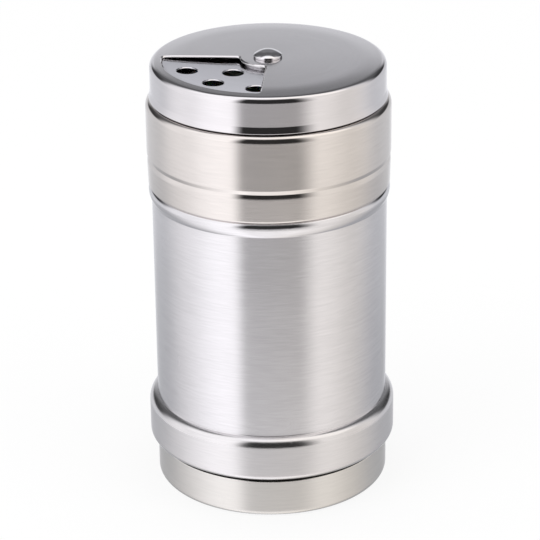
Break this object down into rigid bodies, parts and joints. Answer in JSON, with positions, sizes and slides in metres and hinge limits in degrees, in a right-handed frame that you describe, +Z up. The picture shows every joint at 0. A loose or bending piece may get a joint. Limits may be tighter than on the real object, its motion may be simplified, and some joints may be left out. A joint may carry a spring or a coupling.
{
  "type": "spice shaker",
  "caption": "Round steel spice shaker: straight can on a wider foot band, screw lid with sprinkle plate, riveted cover with a sector window that turns over the holes.",
  "frame": {"origin": "on the can's axis, at the face that the foot ring stands on", "axes": "+Z up the axis; -Y faces the viewer of the picture, +X is at the viewer's right"},
  "size_m": [0.0508, 0.0508, 0.0918],
  "materials": {
    "can_steel": "fine brushing round the can, satin",
    "base_steel": "satin, brushed round",
    "lid_steel": "satin bands brushed round, polished edges",
    "cover_steel": "polished top, satin skirt",
    "rivet_steel": "polished",
    "washer_steel": "plain stamped",
    "liner_plastic": "plain moulded white",
    "gasket_silicone": "soft translucent white"
  },
  "bodies": {
    "can": {"can_wall": "can_steel", "base_cup": "base_steel"},
    "gasket": {"lid_gasket": "gasket_silicone"},
    "lid": {"lid_shell": "lid_steel", "thread_liner": "liner_plastic", "spacer_washer": "washer_steel", "spring_washer": "washer_steel", "backing_washer": "washer_steel", "pivot_rivet": "rivet_steel"},
    "cover": {"rotating_cover": "cover_steel"}
  },
  "joints": [
    {"name": "lid_rise", "type": "slide", "parent": "can", "child": "gasket", "axis": [0, 0, 1], "range_m": [0, 0.01301]},
    {"name": "lid_turn", "type": "hinge", "parent": "gasket", "child": "lid", "pos_m": [0, 0, 0.0705], "axis": [0, 0, 1], "range_deg": [0, 1170]},
    {"name": "cover_turn", "type": "hinge", "parent": "lid", "child": "cover", "pos_m": [0, 0, 0.09], "axis": [0, 0, 1], "continuous": true}
  ],
  "couplings": [
    {"joint": "lid_rise", "follows": "lid_turn", "m_per_rad": 0.00063662}
  ]
}
